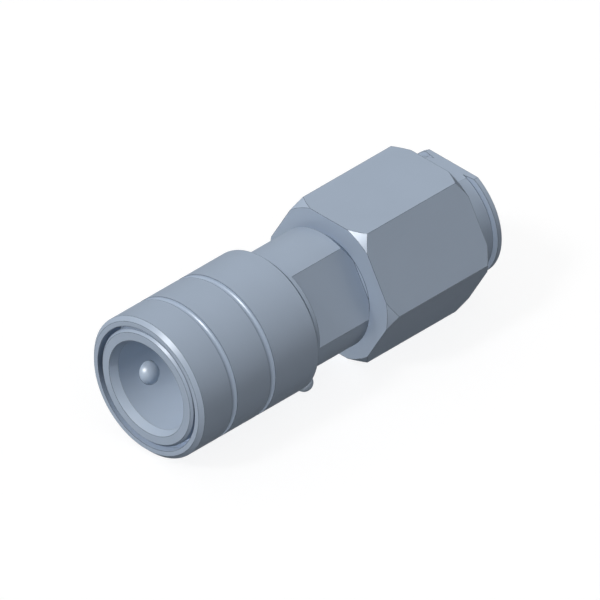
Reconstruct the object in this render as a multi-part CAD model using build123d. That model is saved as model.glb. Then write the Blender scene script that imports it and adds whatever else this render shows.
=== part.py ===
from build123d import *
import os
from math import asin, cos, degrees, pi, radians, sin, sqrt, tan

# Socket half of a push-pull ball-lock coupling, in millimetres.
# X is the axis. The mouth's face is at x = 0, and the port faces +X at the far end.
# Angles about the axis start at +Y and turn towards +Z.

# Gaps between pieces
slide_gap = 0.08
seat_gap = 0.03
fitted_gap = 0.05

# How far a cut starts outside the piece it cuts
cut_margin = 1.0

# Socket and nose
bore_radius = 12.84
lead_in_length = 2.5
lead_in_angle = 20.0
bore_length = 18.9
seal_bore_step = 0.9
socket_depth = 28.0
nose_wall = 3.96
nose_chamfer = 0.7
collar_step = 0.37

# Locking balls and the tapered pockets that hold them
ball_diameter = 6.5
ball_count = 4
ball_position = 12.0
ball_protrusion = 2.6
first_ball_angle = 60.0
pocket_taper = 10.0

# Sleeve
sleeve_length = 43.9
sleeve_wall = 0.99
sleeve_front_chamfer = 1.14
sleeve_rear_chamfer = 1.0
sleeve_lip_gap = 1.07
sleeve_lip_length = 2.5
sleeve_stroke = 4.8
lock_land_length = 3.0
lock_ramp_angle = 60.0
relief_gap = 0.07
relief_run_out = 0.4
guide_land_length = 3.7
sleeve_rear_lip = 2.3
band_positions = (12.2, 26.25)
band_radius = 0.95

# Sleeve spring and the rings that hold it
sleeve_spring_wire = 1.5
sleeve_spring_turns = 5.5
sleeve_spring_gap = 0.1
stop_ring_thickness = 1.2
stop_ring_groove_depth = 0.65
stop_ring_opening = 24.0
guide_ring_thickness = 1.4
guide_ring_step = 0.25
snap_ring_thickness = 1.0
snap_ring_groove_depth = 0.45
snap_ring_width = 1.6

# Lock pin on the neck, and the sleeve's notch that lets it pass
lock_pin_distance = 4.2
lock_pin_angle = 240.0
lock_pin_head_radius = 2.52
lock_pin_shank_radius = 1.5
lock_pin_depth = 3.4
notch_side_gap = 0.48

# Neck, behind the sleeve
neck_length = 23.2
neck_flat_setback = 2.8
neck_flat_distance = 13.8
neck_flat_angle = 150.0

# Plug seal in the socket bore
seal_groove_lead = 0.5
seal_groove_depth = 2.3
plug_seal_section = 2.62
backup_ring_thickness = 1.35

# Valve seat and chamber
throat_radius = 8.6
stop_cone_length = 1.6
seat_position = 31.0
chamber_radius = 11.8

# Poppet
poppet_stroke = 6.0
poppet_nose_radius = 3.5
poppet_nose_length = 5.7
poppet_disc_thickness = 2.2
poppet_disc_gap = 0.3
poppet_flare = 1.0
poppet_seal_start = 0.4
poppet_seal_length = 1.5
poppet_seal_inner_radius = 6.0
poppet_head_radius = 9.8
poppet_head_thickness = 2.5
poppet_screw_radius = 2.4
poppet_screw_length = 6.5
stem_radius = 3.0
stem_reach = 10.0
stem_chamfer = 0.5

# The closed turns at each end of both coil springs
closed_turns = 1.0
closed_turn_pitch = 1.04
spring_points_per_turn = 12

# Poppet spring
poppet_spring_wire = 1.5
poppet_spring_turns = 9.0
poppet_spring_gap = 0.15
spring_boss_radius = 5.0
spring_boss_length = 1.6

# Valve guide and its ring
guide_depth = 4.9
guide_thickness = 4.0
guide_seat_step = 0.6
guide_rim_width = 2.0
guide_hub_radius = 5.2
guide_hub_tail = 2.0
guide_flange_radius = 7.4
guide_flange_thickness = 1.5
guide_flange_lead = 3.0
guide_spoke_width = 2.8
guide_spoke_count = 3
guide_spoke_angle = 90.0
guide_ring_groove_depth = 0.7
guide_ring_width = 1.45
guide_snap_ring_thickness = 1.2
guide_snap_ring_opening = 50.0

# Screwed joints at both ends of the hexagon housing
pilot_radius = 14.9
pilot_length = 4.4
thread_radius = 14.5
joint_length = 16.9
joint_seal_lead = 1.1
joint_seal_groove_width = 2.0
joint_seal_groove_depth = 1.4

# Hexagon housing
housing_length = 37.2
hex_across_flats = 41.0
hex_face_radius = 21.6
hex_chamfer_length = 2.4
web_thickness = 5.6
web_bore_radius = 10.5

# End fitting and its port
fitting_collar_radius = 16.8
fitting_collar_length = 6.5
fitting_groove_radius = 16.2
fitting_groove_fall = 0.4
fitting_groove_rise = 0.5
fitting_ring_radius = 17.7
fitting_ring_length = 1.4
fitting_flat_distance = 15.3
fitting_flat_angle = 90.0
fitting_web_gap = 0.4
port_radius = 9.32
port_depth = 16.0
port_chamfer = 1.58
port_bore_radius = 8.0

# Sizes that follow from the ones above
mouth_radius = bore_radius + lead_in_length * tan(radians(lead_in_angle))
nose_radius = bore_radius + nose_wall
collar_radius = nose_radius + collar_step
ball_radius = ball_diameter / 2
ball_centre_radius = bore_radius - ball_protrusion + ball_radius

lip_radius = nose_radius + sleeve_lip_gap
lock_land_radius = nose_radius + slide_gap
relief_radius = bore_radius + ball_diameter + relief_gap
sleeve_radius = relief_radius + sleeve_wall
guide_radius = collar_radius + slide_gap
spring_inner_radius = nose_radius + sleeve_spring_gap
sleeve_spring_outer_radius = spring_inner_radius + sleeve_spring_wire
sleeve_chamber_radius = sleeve_spring_outer_radius + sleeve_spring_gap
guide_ring_radius = sleeve_chamber_radius + guide_ring_step
snap_groove_radius = guide_ring_radius + snap_ring_groove_depth

neck_flat_start = sleeve_length + neck_flat_setback
lock_pin_position = sleeve_length + lock_pin_distance
housing_position = sleeve_length + neck_length
guide_position = housing_position + guide_depth

land_start = ball_position - lock_land_length / 2
land_end = ball_position + lock_land_length / 2
ramp_length = (relief_radius - lock_land_radius) / tan(radians(lock_ramp_angle))
relief_end = ball_position + sleeve_stroke + ball_radius + relief_run_out
spring_front = relief_end + guide_land_length
snap_ring_rear = sleeve_length - sleeve_rear_lip
snap_ring_front = snap_ring_rear - snap_ring_thickness
spring_rear = snap_ring_front - guide_ring_thickness

seal_bore_radius = bore_radius - seal_bore_step
seal_groove_position = bore_length + seal_bore_step + seal_groove_lead
seal_groove_end = seal_groove_position + backup_ring_thickness + plug_seal_section + 3 * fitted_gap
seal_groove_radius = seal_bore_radius + seal_groove_depth
throat_start = socket_depth + stop_cone_length
seat_end = seat_position + chamber_radius - throat_radius
poppet_seal_front = seat_position + poppet_seal_start
poppet_head_front = poppet_seal_front + poppet_seal_length
poppet_head_rear = poppet_head_front + poppet_head_thickness
poppet_disc_front = poppet_seal_front - poppet_disc_thickness
stem_end = guide_position + stem_reach

guide_seat_radius = chamber_radius + guide_seat_step
guide_rear = guide_position + guide_thickness
flange_front = guide_position - guide_flange_lead
flange_rear = flange_front + guide_flange_thickness

body_end = housing_position + joint_length
web_end = body_end + web_thickness
housing_end = housing_position + housing_length
fitting_front = web_end + fitting_web_gap
ring_front = housing_end + fitting_collar_length + fitting_groove_fall + fitting_groove_rise
total_length = ring_front + fitting_ring_length


def outline_face(*outline):
    """The face inside an outline of (x, radius) points."""
    return make_face(Polyline(*outline, close=True))


def turned(*outline):
    """A solid turned about the X axis from an outline of (x, radius) points."""
    return revolve(outline_face(*outline), Axis.X)


def tube(start, end, inner_radius, outer_radius):
    """A plain ring or tube on the X axis."""
    return turned((start, inner_radius), (end, inner_radius), (end, outer_radius), (start, outer_radius))


def rod(start, end, radius):
    """A plain round bar on the X axis."""
    return turned((start, 0), (end, 0), (end, radius), (start, radius))


def round_ring(position, middle_radius, section):
    """A ring of round section on the X axis."""
    return revolve(Pos(position, middle_radius) * Circle(section / 2), Axis.X)


def about_axis(shape, angle):
    """Turns a shape that was built on the +Y side to its angle about the X axis."""
    return Rot(X=angle) * shape


def open_ring(start, end, inner_radius, outer_radius, opening, angle):
    """A snap ring whose opening, in degrees, faces the given angle."""
    section = outline_face((start, inner_radius), (end, inner_radius), (end, outer_radius), (start, outer_radius))
    return about_axis(revolve(section, Axis.X, 360 - opening), angle + opening / 2)


def coil_spring(start, end, inner_radius, wire, turns):
    """A coil spring on the X axis. Its end turns lie closed and are ground flat."""
    middle_radius = inner_radius + wire / 2
    closed_pitch = wire * closed_turn_pitch
    open_turns = turns - 2 * closed_turns
    open_pitch = (end - start - 2 * closed_turns * closed_pitch) / open_turns
    points = []
    for i in range(round(turns * spring_points_per_turn) + 1):
        turn = i / spring_points_per_turn
        front = min(turn, closed_turns) * closed_pitch
        middle = min(max(turn - closed_turns, 0), open_turns) * open_pitch
        rear = max(turn - closed_turns - open_turns, 0) * closed_pitch
        angle = 2 * pi * turn
        points.append((start + front + middle + rear, middle_radius * cos(angle), middle_radius * sin(angle)))
    path = Spline(*points)
    coil = sweep(Plane(path @ 0, z_dir=path % 0) * Circle(wire / 2), path=path, is_frenet=True)
    room = Rot(Y=90) * Cylinder(middle_radius + 2 * wire, end - start - 2 * seat_gap)
    return coil & Pos((start + end) / 2, 0, 0) * room


def flat_cut(start, end, distance, angle):
    """What a wrench flat takes off: everything past a distance from the axis on one side."""
    reach = 2 * sleeve_radius
    cut = Pos((start + end) / 2, distance + reach / 2, 0) * Box(end - start, reach, 2 * reach)
    return about_axis(cut, angle)


def ball_angles():
    return [first_ball_angle + 360 / ball_count * i for i in range(ball_count)]


def ball_pocket():
    """A radial pocket on the +Y side, narrow enough at the bore to keep its ball from falling in."""
    slope = tan(radians(pocket_taper))
    middle = (ball_radius + seat_gap) / cos(radians(pocket_taper))
    inside = bore_radius - ball_radius
    mouth = collar_radius + ball_radius
    inside_radius = middle - slope * (ball_centre_radius - inside)
    section = outline_face(
        (ball_position, inside),
        (ball_position + inside_radius, inside),
        (ball_position + middle, ball_centre_radius),
        (ball_position + middle, mouth),
        (ball_position, mouth),
    )
    return revolve(section, Axis((ball_position, 0, 0), (0, 1, 0)))


def joint_seal_groove(position):
    floor_radius = pilot_radius - joint_seal_groove_depth
    return tube(position, position + joint_seal_groove_width, floor_radius, pilot_radius + cut_margin)


def joint_seal(position):
    room = joint_seal_groove_depth + fitted_gap - 2 * seat_gap
    middle_radius = pilot_radius + fitted_gap - seat_gap - room / 2
    return round_ring(position + joint_seal_groove_width / 2, middle_radius, room)


def make_socket_body():
    """The nose, the ball cage, the valve seat and the neck, turned from one bar."""
    neck_chamfer = collar_radius - pilot_radius
    pilot_end = housing_position + pilot_length
    body = turned(
        (0, mouth_radius),
        (0, nose_radius - nose_chamfer),
        (nose_chamfer, nose_radius),
        (spring_rear, nose_radius),
        (spring_rear, collar_radius),
        (housing_position - neck_chamfer, collar_radius),
        (housing_position, pilot_radius),
        (pilot_end, pilot_radius),
        (pilot_end + pilot_radius - thread_radius, thread_radius),
        (body_end, thread_radius),
        (body_end, guide_seat_radius),
        (guide_position, guide_seat_radius),
        (guide_position, chamber_radius),
        (seat_end, chamber_radius),
        (seat_position, throat_radius),
        (throat_start, throat_radius),
        (socket_depth, seal_bore_radius),
        (bore_length + seal_bore_step, seal_bore_radius),
        (bore_length, bore_radius),
        (lead_in_length, bore_radius),
    )
    body -= tube(seal_groove_position, seal_groove_end, seal_bore_radius - cut_margin, seal_groove_radius)
    body -= tube(
        spring_front - stop_ring_thickness - fitted_gap,
        spring_front,
        nose_radius - stop_ring_groove_depth,
        nose_radius + cut_margin,
    )
    body -= tube(
        guide_rear,
        guide_rear + guide_snap_ring_thickness + fitted_gap,
        guide_seat_radius - cut_margin,
        guide_seat_radius + guide_ring_groove_depth,
    )
    body -= joint_seal_groove(housing_position + joint_seal_lead)
    for angle in ball_angles():
        body -= about_axis(ball_pocket(), angle)
    for angle in (neck_flat_angle, neck_flat_angle + 180):
        body -= flat_cut(neck_flat_start, housing_position, neck_flat_distance, angle)
    return body - about_axis(lock_pin_hole(), lock_pin_angle)


def lock_pin_hole():
    depth = lock_pin_depth + fitted_gap
    radius = lock_pin_shank_radius + seat_gap
    hole = Cylinder(radius, depth + cut_margin, align=(Align.CENTER, Align.CENTER, Align.MIN))
    return Pos(lock_pin_position, collar_radius - depth, 0) * Rot(X=-90) * hole


def make_lock_pin():
    """A round-headed pin in the neck. The sleeve can be pulled only where its notch meets the head."""
    head_radius = collar_radius + seat_gap + lock_pin_head_radius
    shank_length = head_radius - collar_radius + lock_pin_depth
    shank = Cylinder(lock_pin_shank_radius, shank_length, align=(Align.CENTER, Align.CENTER, Align.MIN))
    pin = Pos(lock_pin_position, collar_radius - lock_pin_depth, 0) * Rot(X=-90) * shank
    pin += Pos(lock_pin_position, head_radius, 0) * Sphere(lock_pin_head_radius)
    return about_axis(pin, lock_pin_angle)


def make_sleeve():
    """The sleeve that is pushed or pulled to free the plug."""
    section = outline_face(
        (0, lip_radius),
        (0, sleeve_radius - sleeve_front_chamfer),
        (sleeve_front_chamfer, sleeve_radius),
        (sleeve_length - sleeve_rear_chamfer, sleeve_radius),
        (sleeve_length, sleeve_radius - sleeve_rear_chamfer),
        (sleeve_length, guide_ring_radius),
        (snap_ring_rear + fitted_gap, guide_ring_radius),
        (snap_ring_rear + fitted_gap, snap_groove_radius),
        (snap_ring_front, snap_groove_radius),
        (snap_ring_front, guide_ring_radius),
        (spring_rear, guide_ring_radius),
        (spring_rear, sleeve_chamber_radius),
        (spring_front, sleeve_chamber_radius),
        (spring_front, guide_radius),
        (relief_end, guide_radius),
        (relief_end, relief_radius),
        (land_end + ramp_length, relief_radius),
        (land_end, lock_land_radius),
        (land_start, lock_land_radius),
        (land_start - ramp_length, relief_radius),
        (sleeve_lip_length, relief_radius),
        (sleeve_lip_length, lip_radius),
    )
    for position in band_positions:
        section -= Pos(position, sleeve_radius) * Circle(band_radius)
    return revolve(section, Axis.X) - about_axis(sleeve_notch(), lock_pin_angle)


def sleeve_notch():
    """A round-ended notch on the +Y side, which clears the pin's head when the sleeve is pulled back."""
    notch_radius = lock_pin_head_radius + notch_side_gap
    bottom = lock_pin_position - sleeve_stroke
    height = 2 * sleeve_wall + sleeve_radius - guide_ring_radius
    middle = Pos(0, guide_ring_radius - sleeve_wall + height / 2, 0)
    end = middle * Pos(bottom, 0, 0) * Rot(X=-90) * Cylinder(notch_radius, height)
    length = sleeve_length - bottom + cut_margin
    return end + middle * Pos(bottom + length / 2, 0, 0) * Box(length, height, 2 * notch_radius)


def make_stop_ring():
    """The open ring in the nose's groove, which holds the front of the sleeve spring."""
    inner_radius = nose_radius - stop_ring_groove_depth + seat_gap
    start = spring_front - stop_ring_thickness
    return open_ring(start, spring_front, inner_radius, collar_radius, stop_ring_opening, lock_pin_angle)


def make_guide_ring():
    """The ring that closes the sleeve behind its spring and runs on the neck's collar."""
    return tube(spring_rear + seat_gap, snap_ring_front, guide_radius, guide_ring_radius - seat_gap)


def make_sleeve_snap_ring():
    outer_radius = snap_groove_radius - seat_gap
    inner_radius = outer_radius - snap_ring_width
    notch_radius = lock_pin_head_radius + notch_side_gap
    opening = 2 * degrees(asin((notch_radius + notch_side_gap) / inner_radius))
    start = snap_ring_front + seat_gap
    return open_ring(start, snap_ring_rear, inner_radius, outer_radius, opening, lock_pin_angle)


def make_ball(angle):
    return about_axis(Pos(ball_position, ball_centre_radius, 0) * Sphere(ball_radius), angle)


def make_plug_seal():
    position = seal_groove_position + backup_ring_thickness + 2 * fitted_gap + plug_seal_section / 2
    return round_ring(position, seal_groove_radius - seat_gap - plug_seal_section / 2, plug_seal_section)


def make_backup_ring():
    """The hard ring that keeps the plug seal from being squeezed out towards the mouth."""
    start = seal_groove_position + fitted_gap
    return tube(start, start + backup_ring_thickness, seal_bore_radius + seat_gap, seal_groove_radius - seat_gap)


def make_poppet_nose():
    """The front of the poppet, which the plug's own valve pushes. It clamps the poppet seal."""
    tip = poppet_disc_front - poppet_nose_length
    disc_radius = throat_radius - poppet_disc_gap
    nose = turned(
        (tip, 0),
        (tip, poppet_nose_radius - stem_chamfer),
        (tip + stem_chamfer, poppet_nose_radius),
        (poppet_disc_front - poppet_flare, poppet_nose_radius),
        (poppet_disc_front, poppet_nose_radius + poppet_flare),
        (poppet_disc_front + poppet_flare, disc_radius),
        (poppet_seal_front, disc_radius),
        (poppet_seal_front, 0),
    )
    screw_start = poppet_head_front - poppet_screw_length - fitted_gap
    return nose - rod(screw_start, poppet_seal_front + cut_margin, poppet_screw_radius + fitted_gap)


def make_poppet_seal():
    """The soft ring between the poppet's nose and head, which closes on the cone of the seat."""
    def seal_radius(x):
        return throat_radius + (x - seat_position) - seat_gap * sqrt(2)

    start = poppet_seal_front + seat_gap
    end = poppet_head_front - seat_gap
    return turned(
        (start, poppet_seal_inner_radius),
        (start, seal_radius(start)),
        (end, seal_radius(end)),
        (end, poppet_seal_inner_radius),
    )


def make_poppet_stem():
    """The poppet's screw, head, spring boss and guided stem, turned in one piece."""
    boss_end = poppet_head_rear + spring_boss_length
    seal_seat_end = poppet_head_front
    return turned(
        (poppet_head_front - poppet_screw_length, 0),
        (poppet_head_front - poppet_screw_length, poppet_screw_radius),
        (poppet_seal_front + seat_gap, poppet_screw_radius),
        (poppet_seal_front + seat_gap, poppet_seal_inner_radius - seat_gap),
        (seal_seat_end, poppet_seal_inner_radius - seat_gap),
        (seal_seat_end, poppet_head_radius),
        (poppet_head_rear, poppet_head_radius),
        (poppet_head_rear, spring_boss_radius),
        (boss_end, spring_boss_radius),
        (boss_end, stem_radius),
        (stem_end - stem_chamfer, stem_radius),
        (stem_end, stem_radius - stem_chamfer),
        (stem_end, 0),
    )


def make_valve_guide():
    """The spoked guide that carries the poppet's stem and lets the oil past."""
    rim_radius = guide_seat_radius - fitted_gap
    hub_end = guide_rear + guide_hub_tail
    bore = stem_radius + slide_gap
    hub = turned(
        (flange_front, bore),
        (flange_front, guide_flange_radius),
        (flange_rear, guide_flange_radius),
        (flange_rear, guide_hub_radius),
        (hub_end, guide_hub_radius),
        (hub_end, bore),
    )
    guide = hub + tube(guide_position, guide_rear, rim_radius - guide_rim_width, rim_radius)
    spoke_start = (guide_hub_radius + bore) / 2
    spoke_length = rim_radius - guide_rim_width / 2 - spoke_start
    spoke = Box(guide_thickness, spoke_length, guide_spoke_width)
    spoke = Pos((guide_position + guide_rear) / 2, spoke_start + spoke_length / 2, 0) * spoke
    for i in range(guide_spoke_count):
        guide += about_axis(spoke, guide_spoke_angle + 360 / guide_spoke_count * i)
    return guide


def make_guide_snap_ring():
    outer_radius = guide_seat_radius + guide_ring_groove_depth - seat_gap
    start = guide_rear + seat_gap
    return open_ring(
        start,
        start + guide_snap_ring_thickness - seat_gap,
        outer_radius - guide_ring_width,
        outer_radius,
        guide_snap_ring_opening,
        guide_spoke_angle,
    )


def make_hex_housing():
    """The long hexagon that joins the socket body and the end fitting."""
    across = RegularPolygon(hex_across_flats / 2, 6, major_radius=False)
    housing = extrude(Plane.YZ.offset(housing_position) * across, amount=housing_length)
    corner_radius = hex_across_flats / sqrt(3)
    housing &= turned(
        (housing_position, 0),
        (housing_position, hex_face_radius),
        (housing_position + hex_chamfer_length, corner_radius),
        (housing_end - hex_chamfer_length, corner_radius),
        (housing_end, hex_face_radius),
        (housing_end, 0),
    )
    pilot = pilot_radius + fitted_gap
    thread = thread_radius + fitted_gap
    pilot_end = housing_position + pilot_length + fitted_gap
    fitting_pilot_start = housing_end - pilot_length - fitted_gap
    return housing - turned(
        (housing_position - cut_margin, 0),
        (housing_position - cut_margin, pilot),
        (pilot_end, pilot),
        (pilot_end + pilot - thread, thread),
        (body_end, thread),
        (body_end, web_bore_radius),
        (web_end, web_bore_radius),
        (web_end, thread),
        (fitting_pilot_start - (pilot - thread), thread),
        (fitting_pilot_start, pilot),
        (housing_end + cut_margin, pilot),
        (housing_end + cut_margin, 0),
    )


def make_end_fitting():
    """The screwed end with the hose port, its collar and ring cut by two wrench flats."""
    collar_end = housing_end + fitting_collar_length
    pilot_start = housing_end - pilot_length
    port_start = total_length - port_depth
    fitting = turned(
        (fitting_front, port_bore_radius),
        (fitting_front, thread_radius),
        (pilot_start - (pilot_radius - thread_radius), thread_radius),
        (pilot_start, pilot_radius),
        (housing_end, pilot_radius),
        (housing_end, fitting_collar_radius),
        (collar_end, fitting_collar_radius),
        (collar_end + fitting_groove_fall, fitting_groove_radius),
        (ring_front, fitting_ring_radius),
        (total_length, fitting_ring_radius),
        (total_length, port_radius + port_chamfer),
        (total_length - port_chamfer, port_radius),
        (port_start, port_radius),
        (port_start, port_bore_radius),
    )
    fitting -= joint_seal_groove(housing_end - joint_seal_lead - joint_seal_groove_width)
    for angle in (fitting_flat_angle, fitting_flat_angle + 180):
        fitting -= flat_cut(housing_end, total_length + cut_margin, fitting_flat_distance, angle)
    return fitting


pieces = {
    "socket_body": make_socket_body(),
    "lock_pin": make_lock_pin(),
    "sleeve": make_sleeve(),
    "sleeve_stop_ring": make_stop_ring(),
    "sleeve_guide_ring": make_guide_ring(),
    "sleeve_snap_ring": make_sleeve_snap_ring(),
    "sleeve_spring": coil_spring(
        spring_front, spring_rear, spring_inner_radius, sleeve_spring_wire, sleeve_spring_turns
    ),
    "plug_seal": make_plug_seal(),
    "plug_backup_ring": make_backup_ring(),
    "poppet_nose": make_poppet_nose(),
    "poppet_seal": make_poppet_seal(),
    "poppet_stem": make_poppet_stem(),
    "poppet_spring": coil_spring(
        poppet_head_rear,
        flange_front,
        spring_boss_radius + poppet_spring_gap,
        poppet_spring_wire,
        poppet_spring_turns,
    ),
    "valve_guide": make_valve_guide(),
    "guide_snap_ring": make_guide_snap_ring(),
    "front_joint_seal": joint_seal(housing_position + joint_seal_lead),
    "hex_housing": make_hex_housing(),
    "rear_joint_seal": joint_seal(housing_end - joint_seal_lead - joint_seal_groove_width),
    "end_fitting": make_end_fitting(),
}
for number, angle in enumerate(ball_angles(), start=1):
    pieces[f"locking_ball_{number}"] = make_ball(angle)

os.makedirs("parts", exist_ok=True)
for node, piece in pieces.items():
    export_step(piece, f"parts/{node}.step")
print(len(pieces), "pieces, overall length", round(total_length, 2), "mm")
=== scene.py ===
# %% [markdown]
# # A push-pull coupling, socket half
#
# The real object joins two fluid lines without a tool. A plug enters the mouth, four steel balls drop into
# its groove, and a sleeve around them holds them there until a hand pushes or pulls it.
#
# The exact solids come from CAD and are loaded first. This script gives them their finish, replaces the
# pieces that a solid modeller draws too plainly, and sets the floor, the lights and the camera.

import math

import bmesh
import bpy
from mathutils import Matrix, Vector


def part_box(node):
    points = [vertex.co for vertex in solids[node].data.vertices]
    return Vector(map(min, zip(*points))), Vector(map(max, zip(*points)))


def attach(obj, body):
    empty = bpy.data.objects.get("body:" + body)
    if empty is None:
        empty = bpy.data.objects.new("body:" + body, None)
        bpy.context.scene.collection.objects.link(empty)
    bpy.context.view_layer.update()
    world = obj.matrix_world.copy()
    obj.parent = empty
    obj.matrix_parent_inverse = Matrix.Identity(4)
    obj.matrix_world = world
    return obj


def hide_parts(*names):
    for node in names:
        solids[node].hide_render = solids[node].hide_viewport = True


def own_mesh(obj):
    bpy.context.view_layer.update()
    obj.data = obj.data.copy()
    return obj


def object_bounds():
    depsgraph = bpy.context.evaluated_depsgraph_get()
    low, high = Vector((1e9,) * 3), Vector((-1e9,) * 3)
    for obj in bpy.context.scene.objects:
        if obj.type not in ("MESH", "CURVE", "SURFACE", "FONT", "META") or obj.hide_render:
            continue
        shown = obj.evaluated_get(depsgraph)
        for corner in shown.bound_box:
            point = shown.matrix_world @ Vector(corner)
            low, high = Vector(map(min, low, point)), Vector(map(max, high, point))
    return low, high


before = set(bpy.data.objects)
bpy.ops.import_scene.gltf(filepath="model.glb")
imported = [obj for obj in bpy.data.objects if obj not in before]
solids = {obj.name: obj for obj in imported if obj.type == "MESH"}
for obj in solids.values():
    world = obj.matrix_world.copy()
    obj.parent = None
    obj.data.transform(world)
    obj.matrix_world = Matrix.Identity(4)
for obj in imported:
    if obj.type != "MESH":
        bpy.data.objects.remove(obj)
solid_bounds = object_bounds()
print(len(solids), "solids, from", solid_bounds[0][:], "to", solid_bounds[1][:])

# %% [markdown]
# ## Places that several pieces share
#
# All lengths in Blender are in metres, and the coupling's are a few millimetres, so one factor keeps the
# numbers readable. The X axis is the coupling's own axis, with the mouth at zero. Places are read from the
# solids' boxes rather than typed again, so a piece still fits when the solid changes.

# %% Measure the solids
MM = 0.001


def ends(node):
    """Where a solid begins and ends along the coupling's axis."""
    low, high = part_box(node)
    return low.x, high.x


def outer_radius(node):
    """A round solid's largest distance from the axis."""
    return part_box(node)[1].y


total_length = solid_bounds[1].x - solid_bounds[0].x
floor_height = solid_bounds[0].z
print("length", round(total_length / MM, 2), "mm, standing on", round(floor_height / MM, 2), "mm")

# %% [markdown]
# ## Small helpers for node trees
#
# A material or a geometry tree is a graph: boxes joined by wires. Written out in full each box takes four
# lines, so small helpers add a box and join its inputs in one line. Inputs are given by name, and each is
# either a plain value or the output of another box.


# %% Node helpers
def join(tree, value, socket):
    """Puts a plain value on a socket, or wires an output to it."""
    if isinstance(value, bpy.types.NodeSocket):
        tree.links.new(value, socket)
    else:
        socket.default_value = value


def add(tree, kind, inputs=None, **settings):
    """Adds a node, sets its properties and fills its inputs, which are named by text or by number."""
    node = tree.nodes.new(kind)
    for name, value in settings.items():
        setattr(node, name, value)
    for name, value in (inputs or {}).items():
        join(tree, value, node.inputs[name])
    return node


def calculate(tree, operation, *values):
    """One Math node, and its output."""
    node = tree.nodes.new("ShaderNodeMath")
    node.operation = operation
    for socket, value in zip(node.inputs, values):
        join(tree, value, socket)
    return node.outputs[0]


def new_material(name):
    """An empty node material, with its output node."""
    material = bpy.data.materials.new(name)
    material.use_nodes = True
    material.node_tree.nodes.clear()
    output = material.node_tree.nodes.new("ShaderNodeOutputMaterial")
    return material, material.node_tree, output


# %% [markdown]
# ## Marks that the machines leave
#
# A lathe tool leaves rings round the axis on the cylinders and circles on the end faces. Both are lines of
# equal distance along the axis plus distance from the axis, so one pattern made from those two distances
# fits every turned surface and needs no unwrapping.
#
# A milling cutter leaves fine lines along the flats. They are the same noise, drawn out along the axis.

# %% Patterns of turning and milling
MARK_DETAIL = 3.0
MILLED_STRETCH = 40


def object_place(tree):
    """The place of a surface point on the object itself."""
    return add(tree, "ShaderNodeTexCoord").outputs["Object"]


def noise_at(tree, place, scale, detail):
    """Noise read at a place, as a number from none to one."""
    inputs = {"Vector": place, "Scale": scale, "Detail": detail}
    return add(tree, "ShaderNodeTexNoise", inputs).outputs["Fac"]


def distance_from_axis(tree, across, up):
    """How far a point is from the coupling's axis."""
    across_square = calculate(tree, "MULTIPLY", across, across)
    up_square = calculate(tree, "MULTIPLY", up, up)
    return calculate(tree, "SQRT", calculate(tree, "ADD", across_square, up_square))


def ring_marks(tree, marks_per_mm):
    """Noise drawn out into rings round the axis, as a lathe tool leaves."""
    along, across, up = add(tree, "ShaderNodeSeparateXYZ", {0: object_place(tree)}).outputs
    distance = calculate(tree, "ADD", along, distance_from_axis(tree, across, up))
    rings = calculate(tree, "MULTIPLY", distance, marks_per_mm / MM)
    side = calculate(tree, "SINE", calculate(tree, "ARCTAN2", up, across))
    place = add(tree, "ShaderNodeCombineXYZ", {"X": rings, "Y": side, "Z": 0.0})
    return noise_at(tree, place.outputs[0], 1.0, MARK_DETAIL)


def long_marks(tree, marks_per_mm):
    """Noise drawn out along the axis, as a milling cutter leaves on the flats."""
    thin = marks_per_mm / MM
    stretch = (thin / MILLED_STRETCH, thin, thin)
    place = add(tree, "ShaderNodeMapping", {"Vector": object_place(tree), "Scale": stretch})
    return noise_at(tree, place.outputs[0], 1.0, MARK_DETAIL)


# %% [markdown]
# ## Painted shade on the corners
#
# The sharp corners of a machined piece get thin dark lines of painted shade.
# They could be painted as an attribute, but then each piece would need its own. A Bevel node finds them on
# any piece: it blurs the surface's direction over a small radius, and where the blurred direction differs
# from the true one there is a corner.

# %% Find the corners
CORNER_RADIUS = 0.2 * MM
CORNER_SAMPLES = 8
STILL_FLAT = 0.9985
FULL_CORNER = 0.99


def painted_shade_share(tree):
    """One where shade is painted on a corner, and none away from it."""
    blurred = add(tree, "ShaderNodeBevel", {"Radius": CORNER_RADIUS}, samples=CORNER_SAMPLES).outputs[0]
    true = add(tree, "ShaderNodeNewGeometry").outputs["Normal"]
    alike = add(tree, "ShaderNodeVectorMath", {0: blurred, 1: true}, operation="DOT_PRODUCT")
    limits = {"Value": alike.outputs["Value"], "From Min": STILL_FLAT, "From Max": FULL_CORNER}
    return add(tree, "ShaderNodeMapRange", limits).outputs["Result"]


# %% [markdown]
# ## Turned and plated steel
#
# The body, the sleeve and the end fitting are turned on a lathe, the hexagon is milled, and all of them are
# then plated, which leaves a satin grey with a cool tint. The hexagon is the roughest, so its chamfers
# catch the light more softly.
#
# Bare steel mirrors its surroundings. This plating is satin: it scatters most of the light, so the
# Principled surface is only one fifth metal. Every surface also turns mirror-like when seen edge-on, which
# under a white tent would make the low faces pale. A specular level of nothing and a grey tint hold that
# down.
#
# The bore that guides the plug gets a lighter, less blue colour than the rest: painted light that makes up
# for the shade that falls inside it. It is told apart by its distance from the axis.

# %% The parts of a steel surface
BORE_PAINTED_LIGHT_COLOUR = (0.455, 0.53, 0.63, 1)
BORE_LIMIT = 13.76 * MM
METAL_SHARE = 0.2
EDGE_TINT = (0.5, 0.5, 0.5, 1)
DRIFT_SCALE = 90.0
DRIFT_DETAIL = 2.0
DRIFT_DARK = 0.97
DRIFT_LIGHT = 1.03
MARK_SHARE = 0.12
MARK_TONE = 0.8
MARK_HEIGHT = 0.004 * MM
PAINTED_SHADE_TONE = 0.3
HOLLOW = 0.3
HILL = 0.7
ROUGHNESS_SWING = 0.03
BUMP_STRENGTH = 0.5


def scaled(colour, factor):
    """A darker or lighter colour of the same hue."""
    return tuple(part * factor for part in colour[:3]) + (1,)


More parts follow.
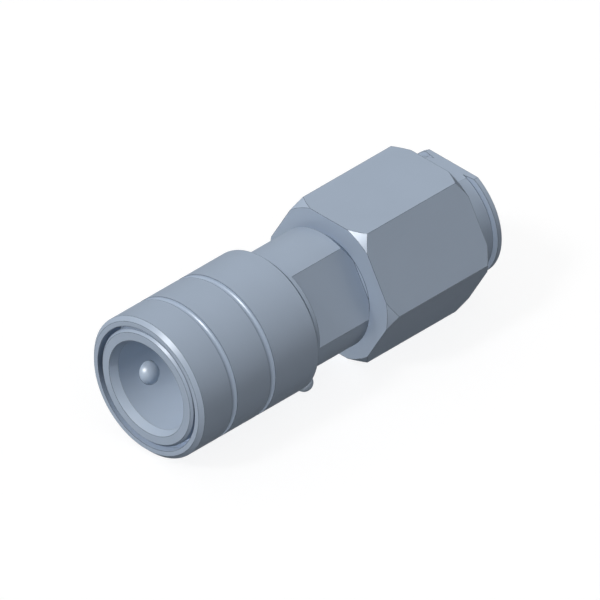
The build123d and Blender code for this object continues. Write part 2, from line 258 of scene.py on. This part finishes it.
def mix_colours(tree, share, first, second):
    """The first colour where the share is none, and the second where it is one."""
    mixed = add(tree, "ShaderNodeMix", {"Factor": share, "A": first, "B": second}, data_type="RGBA")
    return mixed.outputs["Result"]


def bump(tree, pattern, height):
    """A surface direction that follows the hills and hollows of a pattern."""
    inputs = {"Height": pattern, "Distance": height, "Strength": BUMP_STRENGTH}
    return add(tree, "ShaderNodeBump", inputs).outputs["Normal"]


def paint_light_in_bore(tree, tone):
    """The same tone outside, and a lighter one painted in the mouth's bore and cone, where shade falls."""
    across, up = add(tree, "ShaderNodeSeparateXYZ", {0: object_place(tree)}).outputs[1:]
    inside = calculate(tree, "LESS_THAN", distance_from_axis(tree, across, up), BORE_LIMIT)
    return mix_colours(tree, inside, tone, BORE_PAINTED_LIGHT_COLOUR)


def uneven_roughness(tree, roughness, pattern):
    """A roughness that rises and falls a little with the pattern of the marks."""
    inputs = {
        "Value": pattern,
        "From Min": HOLLOW,
        "From Max": HILL,
        "To Min": roughness - ROUGHNESS_SWING,
        "To Max": roughness + ROUGHNESS_SWING,
    }
    return add(tree, "ShaderNodeMapRange", inputs).outputs["Result"]


def steel(name, colour, roughness, marks, marks_per_mm, painted_shade_depth=0.9, bore_painted_light=False):
    """A metal with fine marks, a slow drift of tone and painted shade on its corners."""
    material, tree, output = new_material(name)
    pattern = marks(tree, marks_per_mm)
    drift = noise_at(tree, object_place(tree), DRIFT_SCALE, DRIFT_DETAIL)
    tone = mix_colours(tree, drift, scaled(colour, DRIFT_DARK), scaled(colour, DRIFT_LIGHT))
    # Painted light: the bore and cone get a lighter colour against the shade inside them.
    if bore_painted_light:
        tone = paint_light_in_bore(tree, tone)
    mark = calculate(tree, "MULTIPLY", pattern, MARK_SHARE)
    tone = mix_colours(tree, mark, tone, scaled(colour, MARK_TONE))
    # Painted shade: the corners are mixed towards a darker copy of the colour.
    corner =calculate(tree, "MULTIPLY", painted_shade_share(tree), painted_shade_depth)
    tone = mix_colours(tree, corner, tone, scaled(colour, PAINTED_SHADE_TONE))
    surface = add(
        tree,
        "ShaderNodeBsdfPrincipled",
        {
            "Base Color": tone,
            "Metallic": METAL_SHARE,
            "Specular IOR Level": 0.0,
            "Specular Tint": EDGE_TINT,
            "Roughness": uneven_roughness(tree, roughness, pattern),
            "Normal": bump(tree, pattern, MARK_HEIGHT),
        },
    )
    join(tree, surface.outputs[0], output.inputs["Surface"])
    print("material", name, "with", len(tree.nodes), "nodes")
    return material


# %% [markdown]
# ## Six kinds of steel
#
# One function makes them all. The plated pieces share a colour, and the pieces inside are turned from plain
# steel. The balls and the lock pin are hardened and ground, so their marks are few; their colour is lighter,
# partly as painted light that makes up for the shade inside the bore. The springs and the snap rings are
# dark spring steel.

# %% Steel materials
PLATED_COLOUR = (0.37, 0.44, 0.54, 1)
INNER_COLOUR = (0.42, 0.44, 0.46, 1)
# Partly painted light: this colour is lighter to make up for the shade that the balls get inside the bore.
BALL_COLOUR_PAINTED_LIGHTER = (0.45, 0.525, 0.62, 1)
SPRING_COLOUR = (0.3, 0.31, 0.33, 1)
TURNED_ROUGHNESS = 0.36
MILLED_ROUGHNESS = 0.44
INNER_ROUGHNESS = 0.3
BALL_ROUGHNESS = 0.4
SPRING_ROUGHNESS = 0.32

turned_steel = steel(
    "turned_plated_steel", PLATED_COLOUR, TURNED_ROUGHNESS, ring_marks, marks_per_mm=6
)
body_steel = steel(
    "body_plated_steel", PLATED_COLOUR, TURNED_ROUGHNESS, ring_marks, marks_per_mm=6, bore_painted_light=True
)
milled_steel = steel(
    "milled_plated_steel", PLATED_COLOUR, MILLED_ROUGHNESS, long_marks, marks_per_mm=6
)
inner_steel = steel(
    "inner_turned_steel", INNER_COLOUR, INNER_ROUGHNESS, ring_marks, marks_per_mm=8
)
ball_steel = steel(
    "ball_steel", BALL_COLOUR_PAINTED_LIGHTER, BALL_ROUGHNESS, ring_marks, marks_per_mm=2, painted_shade_depth=0.0
)
spring_steel = steel(
    "spring_steel", SPRING_COLOUR, SPRING_ROUGHNESS, ring_marks, marks_per_mm=3, painted_shade_depth=0.3
)

# %% [markdown]
# ## Rubber and hard plastic
#
# The seals are moulded rubber, black with a faint bloom, and the backup ring beside the plug seal is a waxy
# white plastic. Both are plain Principled surfaces whose roughness and height get a fine grain.

# %% Seal materials
RUBBER_COLOUR = (0.012, 0.012, 0.013, 1)
RUBBER_BLOOM = (0.03, 0.03, 0.032, 1)
PLASTIC_COLOUR = (0.75, 0.74, 0.7, 1)
PLASTIC_BLOOM = (0.82, 0.81, 0.78, 1)
GRAIN_DETAIL = 4.0
GRAIN_HEIGHT = 0.01 * MM
GRAIN_ROUGHNESS = 0.15


def moulded(name, colour, bloom, roughness, grain_per_mm):
    """A moulded surface with a fine grain and a second, lighter colour on its hills."""
    material, tree, output = new_material(name)
    grain = noise_at(tree, object_place(tree), grain_per_mm / MM, GRAIN_DETAIL)
    rough = calculate(tree, "ADD", calculate(tree, "MULTIPLY", grain, GRAIN_ROUGHNESS), roughness)
    surface = add(
        tree,
        "ShaderNodeBsdfPrincipled",
        {
            "Base Color": mix_colours(tree, grain, colour, bloom),
            "Roughness": rough,
            "Normal": bump(tree, grain, GRAIN_HEIGHT),
        },
    )
    join(tree, surface.outputs[0], output.inputs["Surface"])
    print("material", name, "with", len(tree.nodes), "nodes")
    return material


rubber = moulded("seal_rubber", RUBBER_COLOUR, RUBBER_BLOOM, roughness=0.5, grain_per_mm=5)
hard_plastic = moulded("backup_ring_plastic", PLASTIC_COLOUR, PLASTIC_BLOOM, roughness=0.35, grain_per_mm=2)

# %% [markdown]
# ## Finishes for the solids
#
# Every solid needs a finish, also the three that get a finer piece further down. A dictionary says which is
# which, and a loop puts each on its solid, so nothing is left out unnoticed.

# %% Give the solids their finishes
FINISHES = {
    body_steel: ["socket_body"],
    turned_steel: ["sleeve", "end_fitting"],
    milled_steel: ["hex_housing"],
    inner_steel: ["poppet_nose", "poppet_stem", "valve_guide", "sleeve_guide_ring"],
    ball_steel: ["locking_ball_1", "locking_ball_2", "locking_ball_3", "locking_ball_4", "lock_pin"],
    spring_steel: [
        "sleeve_spring",
        "poppet_spring",
        "sleeve_stop_ring",
        "sleeve_snap_ring",
        "guide_snap_ring",
    ],
    rubber: ["plug_seal", "poppet_seal", "front_joint_seal", "rear_joint_seal"],
    hard_plastic: ["plug_backup_ring"],
}
for finish, names in FINISHES.items():
    for name in names:
        solids[name].data.materials.clear()
        solids[name].data.materials.append(finish)
finished = {name for names in FINISHES.values() for name in names}
print(len(finished), "solids finished, left over:", sorted(set(solids) - finished))

# %% [markdown]
# ## Geometry that follows a rule
#
# Three pieces are finer here than their solids: two coil springs, and an end fitting with a thread. A
# helix and a thread are rules more than shapes, so Geometry Nodes make them, and the same tree can make a
# piece again from other sizes. Each tree takes a few numbers, moves points to where its rule puts them,
# and ends in real geometry with one material. That start, that move and that end are written once.


# %% How a tree starts and ends
def new_tree(name, sizes):
    """An empty geometry tree with a geometry output and one number input for each size."""
    tree = bpy.data.node_groups.new(name, "GeometryNodeTree")
    tree.interface.new_socket("Geometry", in_out="INPUT", socket_type="NodeSocketGeometry")
    for size in sizes:
        tree.interface.new_socket(size, in_out="INPUT", socket_type="NodeSocketFloat")
    tree.interface.new_socket("Material", in_out="INPUT", socket_type="NodeSocketMaterial")
    tree.interface.new_socket("Geometry", in_out="OUTPUT", socket_type="NodeSocketGeometry")
    return tree, add(tree, "NodeGroupInput").outputs


def end_tree(tree, geometry, material):
    """Every tree ends the same way: real geometry, smooth shading and one material."""
    real = add(tree, "GeometryNodeRealizeInstances", {"Geometry": geometry})
    smooth = add(tree, "GeometryNodeSetShadeSmooth", {"Geometry": real.outputs[0]})
    dressed = add(tree, "GeometryNodeSetMaterial", {"Geometry": smooth.outputs[0], "Material": material})
    add(tree, "NodeGroupOutput", {"Geometry": dressed.outputs[0]})


def move_points(tree, geometry, along, across, up):
    """Moves every point of a geometry to the place that three numbers give."""
    place = add(tree, "ShaderNodeCombineXYZ", {"X": along, "Y": across, "Z": up})
    moved = add(tree, "GeometryNodeSetPosition", {"Geometry": geometry, "Position": place.outputs[0]})
    return moved.outputs[0]


# %% [markdown]
# ## Two coil springs
#
# The socket holds two coil springs: a wide one that keeps the sleeve in the middle, and a slim one that
# closes the valve. A spring is a wire bent round a helix. Its first and last turn lie closed, and are
# ground flat so that it stands square. It could be a Screw modifier, but then every turn would have the
# same pitch.
#
# So the tree cuts a straight line into many points, moves each point to the place that the rule gives for
# its share of the length, and sweeps a circle along. Grinding is one more move: whatever stands out past an
# end is pressed back to it.

# %% A node tree that coils a wire
TURN_POINTS = 48
WIRE_SIDES = 16
CLOSED_TURNS = 1.0
CLOSED_PITCH = 1.04


def place_along(tree, size, turn):
    """How far along the axis the wire is after some turns, closed at both ends and open between them."""
    closed_pitch = calculate(tree, "MULTIPLY", size["Wire"], CLOSED_PITCH)
    closed_length = calculate(tree, "MULTIPLY", closed_pitch, 2 * CLOSED_TURNS)
    open_turns = calculate(tree, "SUBTRACT", size["Turns"], 2 * CLOSED_TURNS)
    length = calculate(tree, "SUBTRACT", size["End"], size["Start"])
    open_length = calculate(tree, "SUBTRACT", length, closed_length)
    open_pitch = calculate(tree, "DIVIDE", open_length, open_turns)

    past_front = calculate(tree, "MAXIMUM", calculate(tree, "SUBTRACT", turn, CLOSED_TURNS), 0.0)
    open_part = calculate(tree, "MINIMUM", past_front, open_turns)
    closed_part = calculate(tree, "SUBTRACT", turn, open_part)
    along = calculate(tree, "ADD", size["Start"], calculate(tree, "MULTIPLY", closed_part, closed_pitch))
    return calculate(tree, "ADD", along, calculate(tree, "MULTIPLY", open_part, open_pitch))


def grind_ends(tree, wire, size):
    """Presses whatever stands out past an end back to it."""
    here = add(tree, "ShaderNodeSeparateXYZ", {0: add(tree, "GeometryNodeInputPosition").outputs[0]})
    along, across, up = here.outputs
    held = add(tree, "ShaderNodeClamp", {"Value": along, "Min": size["Start"], "Max": size["End"]})
    return move_points(tree, wire, held.outputs[0], across, up)


def make_coil_tree():
    """A wire round the X axis, with its end turns closed and ground flat."""
    tree, size = new_tree("coil_a_wire", ["Start", "End", "Middle Radius", "Wire", "Turns"])
    steps = calculate(tree, "MULTIPLY", size["Turns"], TURN_POINTS)
    line = add(tree, "GeometryNodeCurvePrimitiveLine")
    cut = add(tree, "GeometryNodeResampleCurve", {"Curve": line.outputs[0], "Count": steps})
    share = add(tree, "GeometryNodeSplineParameter").outputs["Factor"]
    turn = calculate(tree, "MULTIPLY", share, size["Turns"])
    angle = calculate(tree, "MULTIPLY", turn, math.tau)

    along = place_along(tree, size, turn)
    across = calculate(tree, "MULTIPLY", calculate(tree, "COSINE", angle), size["Middle Radius"])
    up = calculate(tree, "MULTIPLY", calculate(tree, "SINE", angle), size["Middle Radius"])
    coiled = move_points(tree, cut.outputs[0], along, across, up)

    circle = {"Resolution": WIRE_SIDES, "Radius": calculate(tree, "DIVIDE", size["Wire"], 2.0)}
    section = add(tree, "GeometryNodeCurvePrimitiveCircle", circle)
    swept = {"Curve": coiled, "Profile Curve": section.outputs[0], "Fill Caps": True}
    wire = add(tree, "GeometryNodeCurveToMesh", swept)
    end_tree(tree, grind_ends(tree, wire.outputs[0], size), size["Material"])
    return tree


coil_tree = make_coil_tree()
print("coil tree with", len(coil_tree.nodes), "nodes")

# %% [markdown]
# ## From a node tree to a plain mesh
#
# A tree is a recipe, and the export wants the dish. So the tree is put on an object as a modifier, its
# sizes are set, and the evaluated result is copied into a plain mesh. An input is set by its identifier,
# because two inputs may share a name but never an identifier.


# %% Helpers that make a piece and put it in its place
def baked(name, tree, sizes, material, start=None):
    """Runs a geometry tree, on a start mesh if it needs one, and returns its result as a plain mesh."""
    holder = bpy.data.objects.new(name, start or bpy.data.meshes.new(name))
    bpy.context.scene.collection.objects.link(holder)
    modifier = holder.modifiers.new(tree.name, "NODES")
    modifier.node_group = tree
    for socket in tree.interface.items_tree:
        if socket.in_out == "INPUT" and socket.name in sizes:
            modifier[socket.identifier] = sizes[socket.name]
        if socket.in_out == "INPUT" and socket.name == "Material":
            modifier[socket.identifier] = material
    evaluated = holder.evaluated_get(bpy.context.evaluated_depsgraph_get())
    mesh = bpy.data.meshes.new_from_object(evaluated)
    bpy.data.objects.remove(holder)
    mesh.materials.clear()
    mesh.materials.append(material)
    return mesh


def place_piece(name, mesh, body, replaced, sharp_angle):
    """Shows a mesh as a piece that moves with a body and stands for a solid."""
    mesh.set_sharp_from_angle(angle=math.radians(sharp_angle))
    piece = bpy.data.objects.new(name, mesh)
    bpy.context.scene.collection.objects.link(piece)
    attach(piece, body)
    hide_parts(replaced)
    mesh.calc_loop_triangles()
    print(name, "has", len(mesh.loop_triangles), "triangles")
    return piece


# %% [markdown]
# ## Put in the springs
#
# Each spring takes its ends and its outside from the solid that it stands for. In the coupling the valve's
# spring rests against its rear end, and the sleeve's spring is pressed from the rear when the sleeve is
# pushed and from the front when it is pulled.

# %% Make the springs
SPRING_WIRE = 1.5 * MM
SPRING_SHARP = 30.0


def make_spring(name, solid, turns):
    """A coil spring in the place and size of the solid that it stands for."""
    start, end = ends(solid)
    middle_radius = outer_radius(solid) - SPRING_WIRE / 2
    sizes = {"Start": start, "End": end, "Middle Radius": middle_radius, "Wire": SPRING_WIRE, "Turns": turns}
    mesh = baked(name, coil_tree, sizes, spring_steel)
    spring = place_piece(name, mesh, "socket", solid, SPRING_SHARP)
    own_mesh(spring)


make_spring(
    "sleeve_spring_coil",
    "sleeve_spring",
    turns=5.5,
)
make_spring(
    "poppet_spring_coil",
    "poppet_spring",
    turns=9.0,
)

# %% [markdown]
# ## The end fitting and its threaded port
#
# The hose screws into the end fitting, which is turned on a lathe: an outline spun round the axis, with a
# pipe thread cut into its bore and two wrench flats milled on its collar. The solid has a plain bore,
# because a thread is costly for a solid modeller. Spin or a Screw modifier would turn the outline, but
# neither can cut the thread.
#
# So a tree does both. A flat grid has one row for each point of the outline and one column for each step
# round the axis, and every grid point moves to its row's place, turned by its column's angle. On the rows
# of the bore a wave is added that moves on by one pitch per turn, and that is a screw thread.

# %% A node tree that turns an outline
TURNING_STEPS = 128


def outline_point(tree, outline, row):
    """Reads one point of the outline: its place along the axis, its radius and its share of the thread."""
    point = add(tree, "GeometryNodeSampleIndex", data_type="FLOAT_VECTOR", domain="POINT")
    join(tree, outline, point.inputs["Geometry"])
    join(tree, add(tree, "GeometryNodeInputPosition").outputs[0], point.inputs["Value"])
    join(tree, row, point.inputs["Index"])
    return add(tree, "ShaderNodeSeparateXYZ", {0: point.outputs[0]}).outputs


def cut_thread(tree, size, along, radius, share, turn):
    """The radius with a wave cut into it that moves on by one pitch per turn."""
    phase = calculate(tree, "SUBTRACT", calculate(tree, "DIVIDE", along, size["Pitch"]), turn)
    wave = calculate(tree, "COSINE", calculate(tree, "MULTIPLY", phase, math.tau))
    tooth = calculate(tree, "MULTIPLY", calculate(tree, "SUBTRACT", 1.0, wave), 0.5)
    depth = calculate(tree, "MULTIPLY", size["Thread Depth"], tooth)
    cut = calculate(tree, "ADD", size["Crest Radius"], depth)
    deeper = calculate(tree, "MAXIMUM", calculate(tree, "SUBTRACT", cut, radius), 0.0)
    return calculate(tree, "ADD", radius, calculate(tree, "MULTIPLY", deeper, share))


def make_turning_tree():
    """Spins the outline of a mesh round the X axis. An outline point's Z is its share of the thread."""
    tree, size = new_tree("turn_an_outline", ["Pitch", "Thread Depth", "Crest Radius"])
    outline = size["Geometry"]
    rows = add(tree, "GeometryNodeAttributeDomainSize", {"Geometry": outline}).outputs["Point Count"]
    columns = TURNING_STEPS + 1
    grid = add(tree, "GeometryNodeMeshGrid", {"Vertices X": rows, "Vertices Y": columns})
    index = add(tree, "GeometryNodeInputIndex").outputs[0]
    row = calculate(tree, "FLOOR", calculate(tree, "DIVIDE", index, columns))
    column = calculate(tree, "SUBTRACT", index, calculate(tree, "MULTIPLY", row, columns))
    turn = calculate(tree, "DIVIDE", column, TURNING_STEPS)
    angle = calculate(tree, "MULTIPLY", turn, math.tau)

    along, radius, share = outline_point(tree, outline, row)
    threaded = cut_thread(tree, size, along, radius, share, turn)
    across = calculate(tree, "MULTIPLY", calculate(tree, "COSINE", angle), threaded)
    up = calculate(tree, "MULTIPLY", calculate(tree, "SINE", angle), threaded)
    end_tree(tree, move_points(tree, grid.outputs[0], along, across, up), size["Material"])
    return tree


turning_tree = make_turning_tree()
print("turning tree with", len(turning_tree.nodes), "nodes")

# %% [markdown]
# ## The fitting's outline
#
# The tree needs half of the fitting's section, once round: the flow bore, the outside and the threaded
# bore. The outside is a short table, because it follows the solid corner by corner. The bore has many
# points, because the thread's wave needs a dozen of them in each pitch.
#
# The thread is a 1/2 inch pipe thread: a pitch of 1.814 mm and rounded crests and roots, which a cosine
# wave meets almost exactly. It starts through the mouth's chamfer and fades out over its last turn and a
# half, as the tool is drawn back.

# %% Draw the outline
THREAD_PITCH = 1.814 * MM
THREAD_DEPTH = 1.16 * MM
THREAD_CREST = 9.32 * MM
ROWS_PER_PITCH = 12
RUN_OUT_TURNS = 1.5
PORT_DEPTH = 16.0 * MM
PORT_CHAMFER = 1.58 * MM
FLOW_RADIUS = 8.0 * MM
# The outside from front to rear: how far ahead of the rear face, and the radius, in millimetres
OUTSIDE = [
    (23.1, 14.5),
    (13.6, 14.5),
    (13.2, 14.9),
    (11.9, 14.9),
    (11.9, 13.5),
    (9.9, 13.5),
    (9.9, 14.9),
    (8.8, 14.9),
    (8.8, 16.8),
    (2.3, 16.8),
    (1.9, 16.2),
    (1.4, 17.7),
    (0.0, 17.7),
]


def bore_outline(rear):
    """The threaded bore from its mouth to its bottom, as points (along, radius, share of the thread)."""
    step = THREAD_PITCH / ROWS_PER_PITCH
    points = []
    for count in range(int(PORT_DEPTH / step) + 1):
        depth = count * step
        radius = THREAD_CREST + max(0.0, PORT_CHAMFER - depth)
        share = min(1.0, (PORT_DEPTH - depth) / (RUN_OUT_TURNS * THREAD_PITCH))
        points.append((rear - depth, radius, share))
    points.append((rear - PORT_DEPTH, THREAD_CREST, 0.0))
    points.append((rear - PORT_DEPTH, FLOW_RADIUS, 0.0))
    return points


def fitting_outline(rear):
    """The whole outline, once round: the flow bore's front end, the outside and the threaded bore."""
    outside = [(rear - ahead * MM, radius * MM, 0.0) for ahead, radius in OUTSIDE]
    return [(outside[0][0], FLOW_RADIUS, 0.0)] + outside + bore_outline(rear)


def outline_mesh(name, points):
    """A closed ring of edges through the points, which comes back to its first point."""
    mesh = bpy.data.meshes.new(name)
    ring = points + points[:1]
    mesh.from_pydata(ring, [(i, i + 1) for i in range(len(ring) - 1)], [])
    return mesh


fitting_rear = ends("end_fitting")[1]
outline = outline_mesh("fitting_outline", fitting_outline(fitting_rear))
print("outline with", len(outline.vertices), "points")

# %% [markdown]
# ## Turn the fitting and mill its flats
#
# The flats are cut after the turning, as on the real piece: a plane takes off what lies past it, and the
# cut is closed with one face. Pressing points down on to the plane would be shorter, but would leave a
# ragged edge.

# %% Make the end fitting
FITTING_FLAT = 15.3 * MM
FITTING_SHARP = 15.0
MERGE_DISTANCE = 0.0005 * MM


def close_seams(form):
    """Merges the points that lie on each other, and turns the faces outwards."""
    bmesh.ops.remove_doubles(form, verts=form.verts, dist=MERGE_DISTANCE)
    bmesh.ops.dissolve_degenerate(form, edges=form.edges, dist=MERGE_DISTANCE)
    bmesh.ops.recalc_face_normals(form, faces=form.faces)


def mill_flat(form, side):
    """Takes off everything past the flat on one side, and closes the cut with one face."""
    everything = form.verts[:] + form.edges[:] + form.faces[:]
    cut = bmesh.ops.bisect_plane(
        form, geom=everything, plane_co=(0, 0, side * FITTING_FLAT), plane_no=(0, 0, side), clear_outer=True
    )
    edges = [item for item in cut["geom_cut"] if isinstance(item, bmesh.types.BMEdge)]
    filled = bmesh.ops.edgeloop_fill(form, edges=edges)
    for face in filled["faces"]:
        face.smooth = False
    bmesh.ops.recalc_face_normals(form, faces=form.faces)
    return len(filled["faces"])


def make_end_fitting():
    """Turns the outline, mills both flats and puts the fitting in its place."""
    sizes = {"Pitch": THREAD_PITCH, "Thread Depth": THREAD_DEPTH, "Crest Radius": THREAD_CREST}
    mesh = baked("end_fitting_turned", turning_tree, sizes, turned_steel, outline)
    form = bmesh.new()
    form.from_mesh(mesh)
    close_seams(form)
    flats = [mill_flat(form, side) for side in (1, -1)]
    open_edges = sum(not edge.is_manifold for edge in form.edges)
    print("flats closed with", flats, "faces, open edges:", open_edges)
    print("volume", round(form.calc_volume() / MM**3), "cubic mm")
    form.to_mesh(mesh)
    form.free()
    place_piece("end_fitting_turned", mesh, "socket", "end_fitting", FITTING_SHARP)


make_end_fitting()

# %% [markdown]
# ## Floor
#
# The coupling lies on a plain white floor. The floor has to look pure white, as in a catalogue picture, and
# still carry the shadow. So what is seen of it, by the camera itself or in a reflection, is a mix: part its
# own white light, and part a matt surface that the shadow falls on.
#
# Light that the floor throws back would brighten the coupling's lower faces. A photographer lays a dark
# card under shiny metal to stop that. The Light Path node lays it here: soft bounced light meets a dark
# floor instead.

# %% Make the floor
WHITE = (1, 1, 1, 1)
FLOOR_HALF_SIZE = 1.5
FLOOR_GAP = 0.02 * MM
FLOOR_GLOW = 1.36
FLOOR_GLOW_SHARE = 0.4
FLOOR_SHOWN = (0.85, 0.85, 0.85, 1)
FLOOR_CARD = (0.12, 0.12, 0.12, 1)


def seen_directly(tree):
    """One for what the camera sees itself, mirrored or through glass, and none for soft bounced light."""
    ray = add(tree, "ShaderNodeLightPath")
    direct = calculate(tree, "MAXIMUM", ray.outputs["Is Camera Ray"], ray.outputs["Is Glossy Ray"])
    return calculate(tree, "MAXIMUM", direct, ray.outputs["Is Transmission Ray"])


def mix_surfaces(tree, share, first, second):
    """The first surface where the share is none, and the second where it is one."""
    return add(tree, "ShaderNodeMixShader", {0: share, 1: first, 2: second}).outputs[0]


def floor_material():
    """White with a shadow when seen directly, and dark to soft bounced light."""
    material, tree, output = new_material("floor_white")
    matt = add(tree, "ShaderNodeBsdfDiffuse", {"Color": FLOOR_SHOWN}).outputs[0]
    glow = add(tree, "ShaderNodeEmission", {"Color": WHITE, "Strength": FLOOR_GLOW}).outputs[0]
    card = add(tree, "ShaderNodeBsdfDiffuse", {"Color": FLOOR_CARD}).outputs[0]
    shown = mix_surfaces(tree, FLOOR_GLOW_SHARE, matt, glow)
    join(tree, mix_surfaces(tree, seen_directly(tree), card, shown), output.inputs["Surface"])
    return material


def make_floor():
    """A large flat square just under the coupling."""
    half = FLOOR_HALF_SIZE
    height = floor_height - FLOOR_GAP
    corners = [(-half, -half, height), (half, -half, height), (half, half, height), (-half, half, height)]
    mesh = bpy.data.meshes.new("floor")
    mesh.from_pydata(corners, [], [(0, 1, 2, 3)])
    mesh.materials.append(floor_material())
    floor = bpy.data.objects.new("floor", mesh)
    bpy.context.scene.collection.objects.link(floor)
    print("floor at", round(height / MM, 2), "mm")


make_floor()

# %% [markdown]
# ## Tent
#
# Metal shows what stands around it, and here that is a white tent. It is white to the camera and in
# reflections, but gives only a little light of its own, or it would wash out the tones. A world of one
# white would be simpler, but then its light and its look could not differ.

# %% Make the tent
TENT_LEVEL = 0.24


def make_tent():
    """A world that is white when seen directly and lights the coupling only a little."""
    world = bpy.data.worlds.new("tent")
    world.use_nodes = True
    tree = world.node_tree
    tree.nodes.clear()
    cloth = add(tree, "ShaderNodeBackground", {"Color": WHITE, "Strength": TENT_LEVEL}).outputs[0]
    white = add(tree, "ShaderNodeBackground", {"Color": WHITE, "Strength": 1.0}).outputs[0]
    output = tree.nodes.new("ShaderNodeOutputWorld")
    join(tree, mix_surfaces(tree, seen_directly(tree), cloth, white), output.inputs["Surface"])
    bpy.context.scene.world = world


make_tent()
print("tent at", TENT_LEVEL)

# %% [markdown]
# ## Lamps
#
# The picture's faces differ clearly in tone, so nearly all light comes from one side: a key lamp high above
# the mouth. It is made twice, once without shadows and once with them, and the second one's share says how
# deep the shadows are.
#
# A cool metal also makes cool highlights. A slightly warm glint lamp that shows in reflections only brings
# them back to white.

# %% Make the lamps
KEY_DIRECTION = Vector((-0.6, 0.1, 0.69))
KEY_STRENGTH = 2.8
SHADOW_SHARE = 0.12
GLINT_DIRECTION = Vector((-0.6, 0.0, 0.8))
GLINT_STRENGTH = 3.6
GLINT_COLOUR = (1.0, 0.87, 0.74)
LAMP_ANGLE = 12.0


def make_lamp(name, direction, strength, casts_shadow):
    """A sun lamp that shines from a direction."""
    lamp = bpy.data.lights.new(name, "SUN")
    lamp.energy = strength
    lamp.angle = math.radians(LAMP_ANGLE)
    lamp.use_shadow = casts_shadow
    holder = bpy.data.objects.new(name, lamp)
    bpy.context.scene.collection.objects.link(holder)
    holder.rotation_mode = "QUATERNION"
    holder.rotation_quaternion = direction.normalized().to_track_quat("Z", "Y")
    return holder


even_key = make_lamp("key", KEY_DIRECTION, KEY_STRENGTH * (1 - SHADOW_SHARE), casts_shadow=False)
even_key.visible_glossy = False
shadow_key = make_lamp("key_with_shadow", KEY_DIRECTION, KEY_STRENGTH * SHADOW_SHARE, casts_shadow=True)
shadow_key.visible_glossy = False
glint = make_lamp("glint", GLINT_DIRECTION, GLINT_STRENGTH, casts_shadow=False)
glint.data.color = GLINT_COLOUR
glint.visible_diffuse = False
print("key lamp at", KEY_STRENGTH, "and glint lamp at", GLINT_STRENGTH)

# %% [markdown]
# ## Camera
#
# The picture shows the coupling with no perspective: far edges are as long as near ones. That is an
# orthographic camera, turned 45 degrees to the axis and raised by the angle at which all three axes look
# equally long. Its scale is how many metres the picture is wide.

# %% Make the camera
VIEW_AZIMUTH = -45.0
VIEW_ELEVATION = math.degrees(math.atan(1 / math.sqrt(2)))
PICTURE_WIDTH = 0.1561
CAMERA_DISTANCE = 0.8
CAMERA_NEAREST = 0.01
CAMERA_FARTHEST = 10


def towards_camera():
    """The direction from the coupling to the camera."""
    azimuth = math.radians(VIEW_AZIMUTH)
    elevation = math.radians(VIEW_ELEVATION)
    across = math.sin(azimuth) * math.cos(elevation)
    ahead = -math.cos(azimuth) * math.cos(elevation)
    return Vector((across, ahead, math.sin(elevation)))


def make_camera():
    """A camera without perspective that looks at the middle of the coupling."""
    data = bpy.data.cameras.new("camera")
    data.type = "ORTHO"
    data.ortho_scale = PICTURE_WIDTH
    data.clip_start = CAMERA_NEAREST
    data.clip_end = CAMERA_FARTHEST
    camera = bpy.data.objects.new("camera", data)
    bpy.context.scene.collection.objects.link(camera)
    middle = Vector((total_length / 2, 0, 0))
    camera.location = middle + towards_camera() * CAMERA_DISTANCE
    camera.rotation_mode = "QUATERNION"
    camera.rotation_quaternion = (-towards_camera()).to_track_quat("-Z", "Y")
    bpy.context.scene.camera = camera


make_camera()
bpy.context.scene.view_settings.view_transform = "Standard"
print("camera looks along", [round(-part, 3) for part in towards_camera()])
